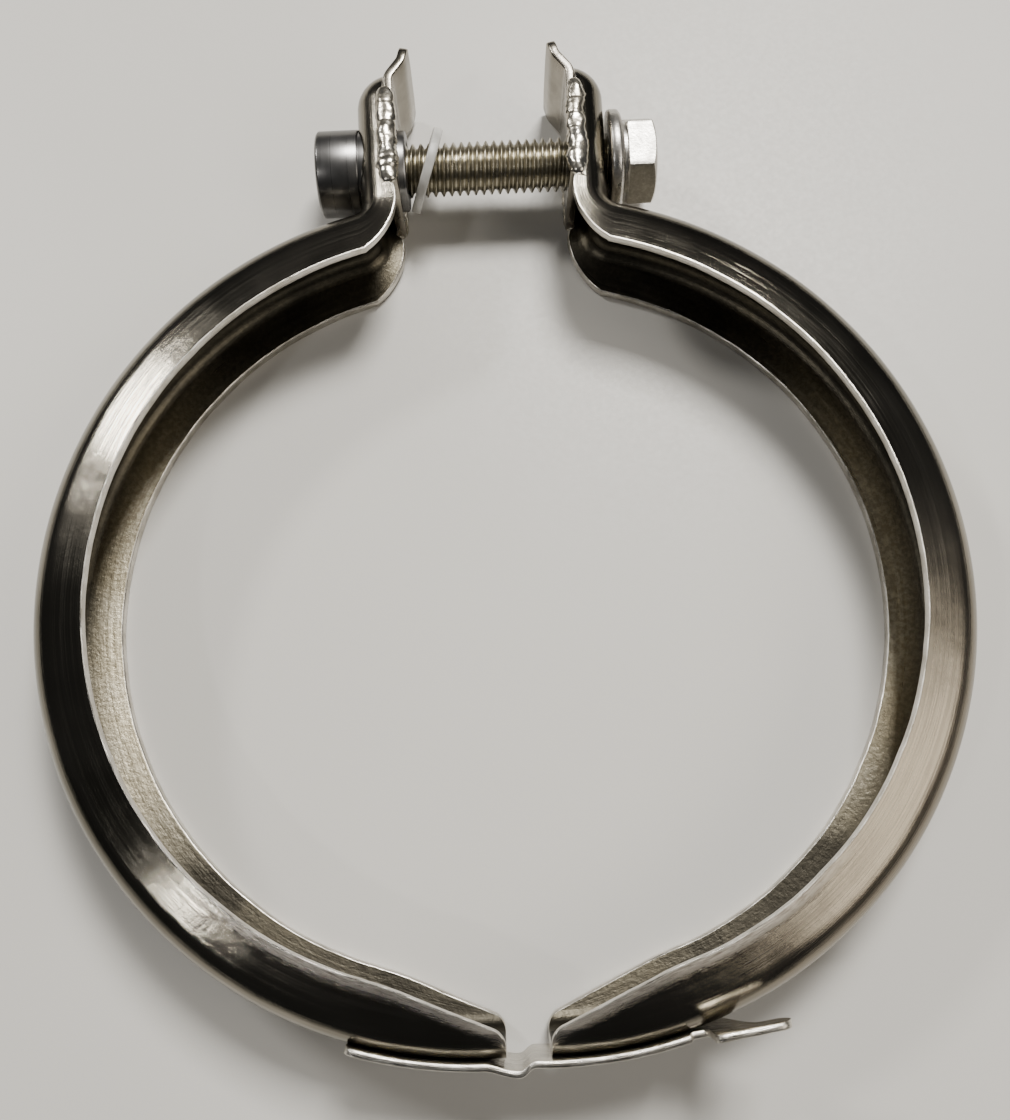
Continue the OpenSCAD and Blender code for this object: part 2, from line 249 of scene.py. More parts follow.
class Nodes:
    """Builds one material's nodes in a few words."""

    def __init__(self, name):
        self.material = bpy.data.materials.new(name)
        self.material.use_nodes = True
        self.tree = self.material.node_tree
        self.shader = self.tree.nodes["Principled BSDF"]

    def node(self, kind, **sockets):
        made = self.tree.nodes.new(kind)
        for key, value in sockets.items():
            if key.startswith("_"):
                setattr(made, key[1:], value)
        for key, value in sockets.items():
            if not key.startswith("_"):
                self.put(made, key.replace("__", " "), value)
        return made

    def put(self, node, key, value):
        socket = node.inputs[int(key[1:])] if key[0] == "i" and key[1:].isdigit() else node.inputs[key]
        if isinstance(value, bpy.types.NodeSocket):
            self.tree.links.new(value, socket)
        else:
            socket.default_value = value

    def coords(self, kind, scale):
        source = self.node("ShaderNodeTexCoord").outputs[kind]
        return self.node("ShaderNodeMapping", Vector=source, Scale=scale).outputs["Vector"]

    def noise(self, vector, scale, detail=4.0, rough=0.55, distortion=0.0):
        return self.node("ShaderNodeTexNoise", Vector=vector, Scale=scale, Detail=detail,
                         Roughness=rough, Distortion=distortion).outputs["Fac"]

    def remap(self, value, low, high, out_low, out_high):
        return self.node("ShaderNodeMapRange", Value=value, i1=low, i2=high,
                         i3=out_low, i4=out_high).outputs["Result"]

    def ramp(self, value, stops):
        made = self.node("ShaderNodeValToRGB", Fac=value)
        ramp = made.color_ramp
        while len(ramp.elements) < len(stops):
            ramp.elements.new(0.5)
        for element, (place, colour) in zip(ramp.elements, stops):
            element.position = place
            element.color = (*colour, 1.0)
        return made.outputs["Color"]

    def mix(self, factor, a, b):
        return self.node("ShaderNodeMix", _data_type="RGBA", i0=factor, i6=a, i7=b).outputs[2]

    def math(self, operation, a, b=0.0):
        return self.node("ShaderNodeMath", _operation=operation, i0=a, i1=b).outputs[0]

    def bump(self, height, strength, distance, normal=None):
        made = self.node("ShaderNodeBump", Height=height, Strength=strength, Distance=distance)
        if normal is not None:
            self.put(made, "Normal", normal)
        return made.outputs["Normal"]

    def done(self, **sockets):
        for key, value in sockets.items():
            self.put(self.shader, key.replace("__", " "), value)
        return self.material


def place_parts(n):
    """Distance from the lip on the outside, or depth behind the crown on the inside, in millimetres."""
    place = n.node("ShaderNodeUVMap", _uv_map="Place").outputs["UV"]
    return n.node("ShaderNodeSeparateXYZ", Vector=place).outputs["X"]


def position(n):
    source = n.node("ShaderNodeTexCoord").outputs["Object"]
    parts = n.node("ShaderNodeSeparateXYZ", Vector=source)
    return parts.outputs["X"], parts.outputs["Y"]


def shell_outside():
    """Polished pressed stainless: mirror-dark, drawn streaks along the ring, ground lips at the ends, and a
    painted warm reflection towards the lower right.
    """
    n = Nodes("shell_polished")
    streak = n.noise(n.coords("UV", (0.02, 4.0, 1.0)), 1.0, 5.0, 0.6)
    patch = n.noise(n.coords("Object", (1, 1, 1)), 28.0, 3.0, 0.55, 0.6)
    smear = n.noise(n.coords("UV", (0.05, 0.5, 1.0)), 1.0, 3.0, 0.6, 0.4)
    pits = n.noise(n.coords("Object", (1, 1, 1)), 900.0, 3.0, 0.6)
    wave = n.noise(n.coords("Object", (1, 1, 1)), 70.0, 2.0, 0.5)
    x, y = position(n)
    tone = n.ramp(patch, [(0.3, (0.17, 0.158, 0.125)), (0.52, (0.25, 0.23, 0.19)),
                          (0.72, (0.36, 0.33, 0.275))])
    tone = n.mix(n.remap(streak, 0.35, 0.75, 0.0, 0.5), tone, (0.12, 0.11, 0.09, 1))
    tone = n.mix(n.remap(smear, 0.52, 0.8, 0.0, 0.35), tone, (0.5, 0.46, 0.39, 1))
    # Painted reflection: a warm brownish patch towards the lower right of the ring stands in for a brown
    # wall mirrored there.
    painted_reflection = n.math("MULTIPLY", n.remap(x, 0.012, 0.04, 0.0, 1.0), n.remap(y, 0.012, -0.022, 0.0, 1.0))
    tone = n.mix(n.math("MULTIPLY", painted_reflection, 0.65), tone, (0.30, 0.258, 0.20, 1))
    strokes = n.node("ShaderNodeMapping", Vector=n.node("ShaderNodeTexCoord").outputs["UV"],
                     Rotation=(0, 0, math.radians(38)), Scale=(0.5, 5.0, 1.0)).outputs["Vector"]
    stroke = n.noise(strokes, 1.0, 4.0, 0.65)
    lip = n.remap(n.math("ADD", place_parts(n), n.remap(stroke, 0.3, 0.7, -0.5, 0.5)), 1.6, 0.9, 0.0, 1.0)
    ground = n.math("MULTIPLY", lip, n.remap(y, -0.036, -0.046, 0.0, 1.0))
    tone = n.mix(ground, tone, n.ramp(stroke, [(0.35, (0.34, 0.3, 0.25)), (0.62, (0.8, 0.75, 0.67))]))
    rough = n.math("ADD", n.remap(patch, 0.3, 0.75, 0.07, 0.17), n.remap(streak, 0.4, 0.75, 0.0, 0.12))
    # Roughness raised in the painted reflection patch and on the ground lips.
    reflection_patch_and_ground_rough = n.math("ADD", n.math("MULTIPLY", painted_reflection, 0.12), n.math("MULTIPLY", ground, 0.2))
    rough = n.math("ADD", rough, reflection_patch_and_ground_rough)
    height = n.math("ADD", n.math("MULTIPLY", streak, 0.6), n.math("MULTIPLY", pits, 0.35))
    height = n.math("ADD", height, n.math("MULTIPLY", ground, n.math("MULTIPLY", stroke, 2.0)))
    normal = n.bump(wave, 0.3, 0.001)
    normal = n.bump(height, 0.22, 0.00022, normal)
    return n.done(Base__Color=tone, Metallic=1.0, Roughness=rough, Normal=normal, Anisotropic=0.3)


def shell_inside():
    """Unpolished inner face: satin, golden and speckled near the lip, with painted shade in the crown, and
    dark at both ends.
    """
    n = Nodes("shell_inside")
    grain = n.noise(n.coords("Object", (1, 1, 1)), 1500.0, 4.0, 0.7)
    cloud = n.noise(n.coords("Object", (1, 1, 1)), 60.0, 4.0, 0.6, 0.5)
    streak = n.noise(n.coords("UV", (0.04, 1.6, 1.0)), 1.0, 4.0, 0.6)
    tone = n.ramp(cloud, [(0.3, (0.32, 0.28, 0.19)), (0.5, (0.47, 0.42, 0.31)),
                          (0.7, (0.62, 0.57, 0.45))])
    tone = n.mix(n.remap(grain, 0.42, 0.62, 0.5, 0.0), tone, (0.16, 0.135, 0.09, 1))
    _, y = position(n)
    ends = n.math("MAXIMUM", n.remap(y, -0.016, -0.036, 0.0, 0.95), n.remap(y, 0.02, 0.042, 0.0, 0.88))
    # Painted shade: the face darkens towards the crown, where the near wall keeps the light off.
    crown = n.remap(place_parts(n), 6.4, 3.2, 0.0, 0.88)
    dark = n.math("ADD", n.math("MAXIMUM", ends, crown), n.remap(cloud, 0.35, 0.65, -0.08, 0.08))
    tone = n.mix(dark, tone, (0.03, 0.027, 0.021, 1))
    rough = n.remap(streak, 0.3, 0.7, 0.26, 0.4)
    height = n.math("ADD", n.math("MULTIPLY", grain, 0.7), n.math("MULTIPLY", streak, 0.5))
    return n.done(Base__Color=tone, Metallic=1.0, Roughness=rough, Normal=n.bump(height, 0.35, 0.0002))


def bright_edge():
    """Freshly cut or rubbed edge of the sheet."""
    n = Nodes("cut_edge")
    streak = n.noise(n.coords("UV", (0.25, 6.0, 1.0)), 1.0, 4.0, 0.6)
    cloud = n.noise(n.coords("Object", (1, 1, 1)), 240.0, 4.0, 0.6)
    tone = n.ramp(cloud, [(0.3, (0.44, 0.41, 0.35)), (0.6, (0.74, 0.71, 0.65))])
    rough = n.remap(streak, 0.3, 0.7, 0.2, 0.42)
    return n.done(Base__Color=tone, Metallic=1.0, Roughness=rough, Normal=n.bump(streak, 0.3, 0.0002))


def weld_metal():
    """Bright lumpy weld with a faint straw and grey tint."""
    n = Nodes("weld_metal")
    ripple = n.noise(n.coords("Object", (1, 1, 1)), 520.0, 3.0, 0.55)
    cloud = n.noise(n.coords("Object", (1, 1, 1)), 230.0, 4.0, 0.65)
    tone = n.ramp(cloud, [(0.3, (0.26, 0.235, 0.19)), (0.48, (0.55, 0.51, 0.43)),
                          (0.7, (0.78, 0.75, 0.68))])
    rough = n.remap(cloud, 0.3, 0.7, 0.34, 0.16)
    return n.done(Base__Color=tone, Metallic=1.0, Roughness=rough, Normal=n.bump(ripple, 0.4, 0.00035))


def strap_steel():
    """Spring strap: rolled finish along its length."""
    n = Nodes("strap_steel")
    streak = n.noise(n.coords("UV", (0.03, 5.0, 1.0)), 1.0, 4.0, 0.6)
    cloud = n.noise(n.coords("Object", (1, 1, 1)), 90.0, 4.0, 0.6, 0.4)
    tone = n.ramp(cloud, [(0.3, (0.42, 0.40, 0.35)), (0.65, (0.68, 0.65, 0.59))])
    tone = n.mix(n.remap(streak, 0.4, 0.7, 0.0, 0.5), tone, (0.33, 0.31, 0.27, 1))
    rough = n.remap(streak, 0.3, 0.7, 0.16, 0.34)
    return n.done(Base__Color=tone, Metallic=1.0, Roughness=rough, Normal=n.bump(streak, 0.25, 0.0002))


def nut_steel():
    """Turned dark nut: fine rings round the axis."""
    n = Nodes("nut_steel")
    rings = n.noise(n.coords("Object", (5200, 12, 12)), 1.0, 2.0, 0.5)
    cloud = n.noise(n.coords("Object", (1, 1, 1)), 160.0, 3.0, 0.6)
    tone = n.ramp(cloud, [(0.3, (0.13, 0.128, 0.125)), (0.7, (0.26, 0.255, 0.25))])
    rough = n.remap(rings, 0.3, 0.7, 0.27, 0.35)
    return n.done(Base__Color=tone, Metallic=1.0, Roughness=rough, Normal=n.bump(rings, 0.12, 0.00004))


def zinc(name, dark, light, rough_low, rough_high):
    """Plated steel, with wear and a cloudy tint."""
    n = Nodes(name)
    cloud = n.noise(n.coords("Object", (1, 1, 1)), 320.0, 4.0, 0.65, 0.3)
    grain = n.noise(n.coords("Object", (1, 1, 1)), 2400.0, 3.0, 0.6)
    tone = n.ramp(cloud, [(0.32, dark), (0.66, light)])
    tone = n.mix(n.remap(grain, 0.45, 0.62, 0.3, 0.0), tone, tuple(c * 0.55 for c in dark) + (1,))
    rough = n.remap(cloud, 0.3, 0.7, rough_high, rough_low)
    return n.done(Base__Color=tone, Metallic=1.0, Roughness=rough, Normal=n.bump(grain, 0.3, 0.0001))


def nylon():
    """Translucent grey plastic, cloudy and finely grained."""
    n = Nodes("nylon")
    cloud = n.noise(n.coords("Object", (1, 1, 1)), 200.0, 4.0, 0.6, 0.5)
    grain = n.noise(n.coords("Object", (1, 1, 1)), 1800.0, 3.0, 0.6)
    tone = n.ramp(cloud, [(0.3, (0.40, 0.395, 0.37)), (0.7, (0.62, 0.61, 0.58))])
    return n.done(Base__Color=tone, Metallic=0.0, Roughness=n.remap(cloud, 0.3, 0.7, 0.28, 0.45),
                  Normal=n.bump(grain, 0.25, 0.0001), Subsurface__Weight=0.25,
                  Subsurface__Radius=(0.004, 0.004, 0.0038), Subsurface__Scale=0.3,
                  Transmission__Weight=0.25, IOR=1.5)


def plate_steel():
    """Rolled plate that closes the ear: satin, grained up and down, cloudy in tone."""
    n = Nodes("plate_steel")
    grain = n.noise(n.coords("Object", (600, 600, 60)), 1.0, 4.0, 0.6)
    cloud = n.noise(n.coords("Object", (1, 1, 1)), 110.0, 4.0, 0.6, 0.6)
    tone = n.ramp(cloud, [(0.3, (0.16, 0.145, 0.115)), (0.5, (0.26, 0.24, 0.2)), (0.7, (0.4, 0.37, 0.32))])
    rough = n.remap(cloud, 0.3, 0.7, 0.16, 0.3)
    return n.done(Base__Color=tone, Metallic=1.0, Roughness=rough, Normal=n.bump(grain, 0.25, 0.0002))


def table_top():
    """Plain pale laminate, with the faintest mottling."""
    n = Nodes("table_top")
    cloud = n.noise(n.coords("Object", (1, 1, 1)), 9.0, 3.0, 0.5)
    grain = n.noise(n.coords("Object", (1, 1, 1)), 1200.0, 2.0, 0.5)
    tone = n.ramp(cloud, [(0.35, (0.585, 0.57, 0.535)), (0.65, (0.625, 0.61, 0.575))])
    return n.done(Base__Color=tone, Roughness=n.remap(grain, 0.3, 0.7, 0.4, 0.5),
                  Normal=n.bump(grain, 0.1, 0.0001), Specular__IOR__Level=0.35)


OUTSIDE = shell_outside()
INSIDE = shell_inside()
EDGE = bright_edge()
WELD = weld_metal()
STRAP_STEEL = strap_steel()
NUT_STEEL = nut_steel()
THREAD_ZINC = zinc("thread_zinc", (0.25, 0.225, 0.16), (0.55, 0.515, 0.42), 0.24, 0.4)
HEAD_ZINC = zinc("head_zinc", (0.48, 0.46, 0.42), (0.74, 0.72, 0.67), 0.26, 0.42)
WASHER_STEEL = zinc("washer_steel", (0.42, 0.40, 0.37), (0.68, 0.66, 0.62), 0.22, 0.38)
NYLON = nylon()
PLATE_STEEL = plate_steel()


# ---------------------------------------------------------------- shells

CREASE = 38
LIP_ROUND = 0.22
END_ROUND = 1.3
CORNER_STEPS = 8
FLANGE_STEPS = (0.45, 0.85, 0.97, 1.0)
TAPER_FROM = Vector((17.5, -48.2))
TAPER_TO = Vector((2.4, -56.17))
LIP_TRIM = on_ear(BEND_R + 4.66, BEND_S + 0.17)
LIP_TRIM_R = 11.77
CUT_POINTS = 64
SLOT_R = 4.7
SLOT_RUN = 0.8
SLOT_DROP = 0.45


def flange_point(r, depth):
    """Depth and height of the channel's wall, of bend radius r, where it reaches a depth."""
    start = CORNER_R - r
    turn = math.acos(min(max((CORNER_R - depth) / r, -1.0), 1.0)) if depth > start else 0.0
    if turn <= CORNER_TURN:
        return Vector((max(depth, start), CROWN_FLAT + r * math.sin(turn)))
    x = CORNER_R - r * math.cos(CORNER_TURN)
    return Vector((depth, CROWN_FLAT + r * math.sin(CORNER_TURN) + (depth - x) * FLANGE_SLOPE))


def wall(r, depth):
    """Points of one wall, from the middle of the crown to a depth."""
    start = CORNER_R - r
    points = [Vector((start, CROWN_FLAT * t)) for t in (0.0, 0.5)]
    reach = max(depth - start, 0.0)
    turn_end = min(CORNER_TURN, math.acos(min(max(1 - reach / r, -1.0), 1.0)))
    for i in range(CORNER_STEPS + 1):
        turn = turn_end * i / CORNER_STEPS
        points.append(Vector((start + r * (1 - math.cos(turn)), CROWN_FLAT + r * math.sin(turn))))
    corner = start + r * (1 - math.cos(turn_end))
    for t in FLANGE_STEPS:
        points.append(flange_point(r, max(lerp(corner, depth, t), corner + 0.001)))
    return points


def section(depth):
    """The channel's closed section, as (depth, height, kind): 0 outside, 1 lip edge, 2 inside."""
    lip = LIP_ROUND * smooth((depth - 1.0) / 1.5)
    outer = wall(CORNER_R, depth - lip)
    if depth > SHEET + 0.35:
        inner = wall(CORNER_R - SHEET, depth - lip)
        o, i = flange_point(CORNER_R, depth), flange_point(CORNER_R - SHEET, depth)
    else:
        rim = outer[-1].y - 0.15
        inner = [Vector((depth, rim * k / (len(outer) - 1))) for k in range(len(outer))]
        o, i = Vector((depth, outer[-1].y)), Vector((depth, rim))
    edge = (i - o).normalized() if (i - o).length > 1e-6 else Vector((0, -1))
    rim = [o + edge * lip * 0.3 - Vector((lip * 0.25, 0)), o + edge * lip, i - edge * lip,
           i - edge * lip * 0.3 - Vector((lip * 0.25, 0))]
    half = [(p, 0) for p in outer] + [(p, 1) for p in rim] + [(p, 2) for p in reversed(inner)]
    upper = [(p.x, p.y, kind) for p, kind in half]
    lower = [(p.x, -p.y, kind) for p, kind in reversed(half[1:-1])]
    return upper + lower


def shell_stations():
    """Crown points of the right half with their inward directions and depths, from strap to dome."""
    found = []
    start = END_ANGLE - math.pi / 2
    near_end = [start + x / RING_R for x in (0.0, 0.03, 0.1, 0.22, 0.4, 0.65, 0.95, 1.25)]
    for a in near_end + steps(start + 1.6 / RING_R, math.pi / 2 - BEND_ANGLE, 150):
        crown, inward = polar(RING_R, a), -polar(1, a)
        depth = RING_DEPTH
        line = TAPER_TO - TAPER_FROM
        side = Vector((line.y, -line.x))
        if side.dot(inward):
            cut = side.dot(TAPER_FROM - crown) / side.dot(inward)
            if crown.x < TAPER_FROM.x + 4 and cut > 0:
                blend = 0.35
                depth = min(depth, cut) - blend * math.exp(-abs(depth - cut) / blend) * 0.3
        tip = min((a - END_ANGLE + math.pi / 2) * RING_R, END_ROUND)
        depth -= END_ROUND - math.sqrt(max(END_ROUND**2 - (END_ROUND - tip)**2, 0.0))
        found.append((crown, inward, depth))
    for a in steps(1.5 * math.pi - BEND_ANGLE, math.pi + EAR_LEAN, 26)[1:]:
        inward = polar(1, a)
        crown = BEND + BEND_R * inward
        away = crown - LIP_TRIM
        b = away.dot(inward)
        depth = -b + math.sqrt(max(b * b - away.length_squared + LIP_TRIM_R**2, 0.0))
        found.append((crown, inward, min(depth, RING_DEPTH)))
    down = -polar(1, EAR_LEAN)
    for y in steps(BEND_S, DOME_START, 30)[1:]:
        depth = lerp(NECK_DEPTH, SEAT_DEPTH + 0.05, smooth((y + PLATE_DROP + 0.9) / 0.9))
        found.append((on_ear(0, y), down, depth))
    for a in steps(0.0, math.radians(76), 18)[1:]:
        crown = on_ear(DOME_R * (math.cos(a) - 1), DOME_START + DOME_R * math.sin(a))
        inward = EAR_TURN @ -polar(1, a)
        depth = DOME_R - (DOME_R - SEAT_DEPTH) / math.cos(a)
        found.append((crown, inward, max(depth, 0.3)))
    return found


def shell(name, side):
    """Half-ring, bend, neck and dome as one pressing, with a slightly uneven lip."""
    rows, places = [], []
    for s, (crown, inward, depth) in enumerate(shell_stations()):
        ragged = 0.07 * rough_noise(s * 0.19, side * 7.3) + 0.04 * rough_noise(s * 0.6, side * 3.1)
        lip = depth + (ragged if depth > 4.6 else 0.0)
        part = section(lip)
        kinds = [k for _, _, k in part]
        dent = 0.05 * rough_noise(s * 0.07, 0.4, side * 5.0)
        row = []
        for d, z, kind in part:
            q = crown + inward * (d + dent)
            row.append((q.x, q.y, z))
            places.append((lip - d if kind == 0 else d, s))
        rows.append(row)
    count = len(kinds)

    def pick(i, j):
        k = (j + 1) % count
        return 1 if 1 in (kinds[j], kinds[k]) else (0 if kinds[j] == 0 and kinds[k] == 0 else 2)

    return sweep(name, placed(rows, half_matrix(side)), [OUTSIDE, EDGE, INSIDE], pick,
                 sharp=CREASE, flip=side > 0, cap_pick=1, places=places)


def cutter(name, rows):
    """A closed tool for a boolean cut. On the right its faces point inward, so that cut removes nothing."""
    obj = sweep(name, rows, [INSIDE], sharp=60)
    obj.hide_render = True
    return obj


def keyed_cut(name, side, x_from, x_to):
    """A double-D plug meant to cut the keyed hole through an ear."""
    rows = []
    for x in (x_from, x_to):
        row = []
        for j in range(CUT_POINTS):
            a = 2 * math.pi * j / CUT_POINTS
            y = max(min(KEY_HOLE_R * math.cos(a), KEY_HOLE_FLAT), -KEY_HOLE_FLAT)
            q = on_ear(x, y)
            row.append((q.x, q.y, KEY_HOLE_R * math.sin(a)))
        rows.append(row)
    return cutter(name, placed(rows, half_matrix(side)))


def slot_cut(name, side):
    """A plug shaped like an upright slot, meant to cut the right ear's crown for the bolt."""
    rows = []
    for x in (-3.2, 1.8):
        row = []
        for j in range(CUT_POINTS):
            a = 2 * math.pi * j / CUT_POINTS
            y = SLOT_R * math.cos(a) + math.copysign(SLOT_RUN, math.cos(a)) - SLOT_DROP
            q = on_ear(x, y)
            row.append((q.x, q.y, SLOT_R * math.sin(a)))
        rows.append(row)
    return cutter(name, placed(rows, half_matrix(side)))


def cut(obj, *tools):
    """Takes the tools out of obj, leaving a plain mesh."""
    for tool in tools:
        modifier = obj.modifiers.new("cut", "BOOLEAN")
        modifier.operation = "DIFFERENCE"
        modifier.object = tool
        modifier.solver = "EXACT"
    bake(obj)
    for tool in tools:
        bpy.data.objects.remove(tool)


def bake(obj):
    """Applies an object's modifiers to its mesh."""
    graph = bpy.context.evaluated_depsgraph_get()
    mesh = bpy.data.meshes.new_from_object(obj.evaluated_get(graph), depsgraph=graph)
    obj.modifiers.clear()
    obj.data = mesh


def rounded(obj, width, segments, angle=40):
    """Bevels the sharp edges of an object, by a width in millimetres."""
    modifier = obj.modifiers.new("edge", "BEVEL")
    modifier.width = width * MM
    modifier.segments = segments
    modifier.limit_method = "ANGLE"
    modifier.angle_limit = math.radians(angle)
    modifier.harden_normals = False
    bake(obj)
    obj.data.polygons.foreach_set("use_smooth", [True] * len(obj.data.polygons))
    obj.data.set_sharp_from_angle(angle=math.radians(CREASE))


# ---------------------------------------------------------------- ear plates and welds

def swing(p, r, start, end, count=9):
    """Points round a bend that begins at p, each with its heading."""
    x, y, _ = p
    return [(x + r * (math.cos(h) - math.cos(start)), y + r * (math.sin(h) - math.sin(start)), h)
            for h in steps(start, end, count)[1:]]


def along_line(p, length, turn):
    """A point straight on from p, with its heading."""
    return (p[0] - length * math.sin(turn), p[1] + length * math.cos(turn), turn)


def plate_line():
    """Middle of the plate and its tongue: x, y and turn in the ear's frame."""
    x = -SEAT_DEPTH - PLATE / 2
    line = [(x, y, 0.0) for y in steps(-PLATE_DROP, TONGUE_START, 12)]
    line += swing(line[-1], TONGUE_IN + PLATE / 2, 0.0, TONGUE_BEND)
    start = line[-1]
    line += [along_line(start, TONGUE_RUN * t, TONGUE_BEND) for t in (0.25, 0.5, 0.75, 1.0)]
    line += swing(line[-1], -RETURN_IN - PLATE / 2, TONGUE_BEND, TONGUE_BEND - TONGUE_RETURN)
    start = line[-1]
    line += [along_line(start, TONGUE_TIP * t, TONGUE_BEND - TONGUE_RETURN) for t in (0.5, 0.85, 1.0)]
    return line


def plate_half(y):
    """Half of the plate's width at a height, with the tongue's corners rounded."""
    corner_y = TONGUE_TOP - TONGUE_CORNER
    if y <= corner_y:
        return SEAT_HALF
    up = min((y - corner_y) / TONGUE_CORNER, 0.995)
    return SEAT_HALF - TONGUE_CORNER + TONGUE_CORNER * math.sqrt(1 - up * up)


# Points round the plate's section, as parts of its half thickness and half width.
PLATE_SECTION = ((1, -0.5), (1, 0.5), (1, 1), (0.5, 1), (0.0, 1), (-0.5, 1), (-1, 1), (-1, 0.5),
                 (-1, -0.5), (-1, -1), (-0.5, -1), (0.0, -1), (0.5, -1), (1, -1))
PLATE_SOFT = 0.08
PLATE_CURL = 0.084


def ear_plate(name, side, body):
    """Plate that closes an ear, with its bent tongue, and on the left its keyed hole."""
    rows = []
    for x, y, turn in plate_line():
        half = plate_half(y)
        bow = 0.05 * rough_noise(y * 0.2, side)
        row = []
        for a, b in PLATE_SECTION:
            corner = abs(a) == 1 and abs(b) == 1
            z = b * (half - (PLATE_CURL if corner else 0.0))
            off = a * (PLATE / 2 - (PLATE_SOFT if corner else 0.0)) + bow
            q = on_ear(x + off * math.cos(turn), y + off * math.sin(turn))
            row.append((q.x, q.y, z))
        rows.append(row)
    obj = sweep(name, placed(rows, half_matrix(side)), [PLATE_STEEL], sharp=40, flip=side < 0)
    cut(obj, keyed_cut(name + "_cut", side, -10.0, -1.0))
    rounded(obj, 0.22, 3)
    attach(obj, body)
    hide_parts(name)
    return obj


BEAD_TOP = 9.4
BEAD_BOTTOM = -7.2
BEAD_STATIONS = 120


def weld_bead(name, side, up, body):
    """A bead of overlapping puddles along the seam, larger towards its lower end."""
    rows = []
    for i, y in enumerate(steps(BEAD_TOP, BEAD_BOTTOM, BEAD_STATIONS)):
        t = i / (BEAD_STATIONS - 1)
        end = math.sqrt(max(1 - abs(2 * t - 1)**8, 0.0)) * 0.96 + 0.04
        phase = t * 5.4 + 0.9 * rough_noise(t * 2.6, side, up)
        puddle = math.sin(math.pi * (phase % 1.0))**0.5
        grow = lerp(0.95, 1.12, smooth((t - 0.5) / 0.35)) + 0.16 * rough_noise(t * 4, up * 4.0, side * 6.0)
        r = BEAD_R * end * grow * (0.92 + 0.12 * puddle)
        wander = 0.3 * rough_noise(t * 3.2, side * 2.0, up * 3.0)
        row = []
        for j in range(24):
            a = 2 * math.pi * j / 24
            lump = 1 + 0.22 * rough_noise(math.cos(a) * 0.8 + side, t * 8, math.sin(a) * 0.8 + up)
            lump += 0.08 * rough_noise(math.cos(a) * 2 + side, t * 26, math.sin(a) * 2 + up)
            q = on_ear(-SEAT_DEPTH - 0.2 + wander + 1.3 * r * lump * math.cos(a), y)
            z = SEAT_HALF - 0.3 + 0.8 * r * lump * math.sin(a)
            row.append((q.x, q.y, up * z))
        rows.append(row)
    obj = sweep(name + "_bead", placed(rows, half_matrix(side)), [WELD], sharp=75, flip=side * up < 0)
    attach(obj, body)
    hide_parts(name)
    return obj


# ---------------------------------------------------------------- strap

STRAP_POINTS = 9
STRAP_SOFT = 0.12
STRAP_CORNER = 1.2
BUMP_FROM = -5.6
BUMP_PEAK = -1.2
BUMP_TO = 0.8
BUMP_RISE = 1.0


def strap_bump(x):
    """Height of the shallow kink across the gap, at a distance along the strap."""
    if x < BUMP_FROM or x > BUMP_TO:
        return 0.0
    if x < BUMP_PEAK:
        return BUMP_RISE * smooth((x - BUMP_FROM) / (BUMP_PEAK - BUMP_FROM))
    return BUMP_RISE * smooth((BUMP_TO - x) / (BUMP_TO - BUMP_PEAK))


TAB_R = 1.7
TAB_FROM = 2.6
TAB_CORNER = 0.8
NOTCH = 1.6
SWEEP_FROM = 3.0
SWEEP_TO = 8.6
LUG_STEPS = (0.05, 0.1, 0.3, 0.45, 0.6, 1.0, 1.5, 2.0, 2.1, 2.25, 2.4, 2.55, 2.6, 2.62, 2.7, 2.85, 3.05,
             3.4, 3.8, 4.2, 4.6, 5.0, 5.4, 5.8, 6.2, 6.6, 7.0, 7.4, 7.8, 8.2, 8.6, 9.2, 9.8, 10.3, 10.6,
             10.9, 11.2, 11.45, 11.65, 11.8, 11.9, 11.96, 11.99)


def lug_edges(x):
    """Lower and upper edge of the lug at a distance along it."""
    top = STRAP_HIGH + LUG_TAB
    low = lerp(STRAP_LOW, top - 2 * TAB_R, smooth((x - SWEEP_FROM) / (SWEEP_TO - SWEEP_FROM)))
    notch = STRAP_HIGH - NOTCH
    if x <= 0.6:
        high = lerp(STRAP_HIGH, notch, min(max((x - 0.1) / 0.5, 0.0), 1.0))
    elif x <= TAB_FROM - 0.5:
        high = notch
    elif x <= TAB_FROM:
        high = notch + (x - TAB_FROM + 0.5)
    else:
        round_off = TAB_CORNER - min(x - TAB_FROM, TAB_CORNER)
        high = top - TAB_CORNER + math.sqrt(TAB_CORNER**2 - round_off**2)
    past = x - (LUG_LENGTH - TAB_R)
    if past > 0:
        reach = math.sqrt(max(TAB_R**2 - past**2, 0.0))
        low, high = top - TAB_R - reach, top - TAB_R + reach
    return low, high


def strap_path():
    """Middle of the strap in the row frame: point, outward direction and its two edges."""
    path = []
    middle = RING_R + 0.02 + STRAP / 2
    for side, angles in ((-1, steps(STRAP_END_LEFT, 0.003, 60)), (1, steps(0.003, STRAP_END_RIGHT, 56))):
        place = half_matrix(side)
        for a in angles:
            out = Vector((math.sin(a), -math.cos(a), 0))
            p = place @ (middle * out)
            q = place @ ((middle + 1) * out)
            normal = (q - p).normalized()
            low, high = STRAP_LOW, STRAP_HIGH
            if side < 0:
                near_end = (STRAP_END_LEFT - a) * RING_R
                inset = STRAP_CORNER - min(near_end, STRAP_CORNER)
                round_off = STRAP_CORNER - math.sqrt(STRAP_CORNER**2 - inset**2)
                low, high = low + round_off, high - round_off
            path.append((p + normal * strap_bump(p.x), normal, low, high))
    place = half_matrix(1)
    a = STRAP_END_RIGHT
    out = Vector((math.sin(a), -math.cos(a), 0))
    forward = Vector((math.cos(a), math.sin(a), 0))
    p = middle * out
    reached = 0.0
    for x in LUG_STEPS:
        lift = LUG_LIFT * smooth(x / LUG_BEND)
        p = p + (forward * math.cos(lift) + out * math.sin(lift)) * (x - reached)
        reached = x
        away = out * math.cos(lift) - forward * math.sin(lift)
        normal = (place @ (p + away) - place @ p).normalized()
        path.append((place @ p, normal, *lug_edges(x)))
    return path


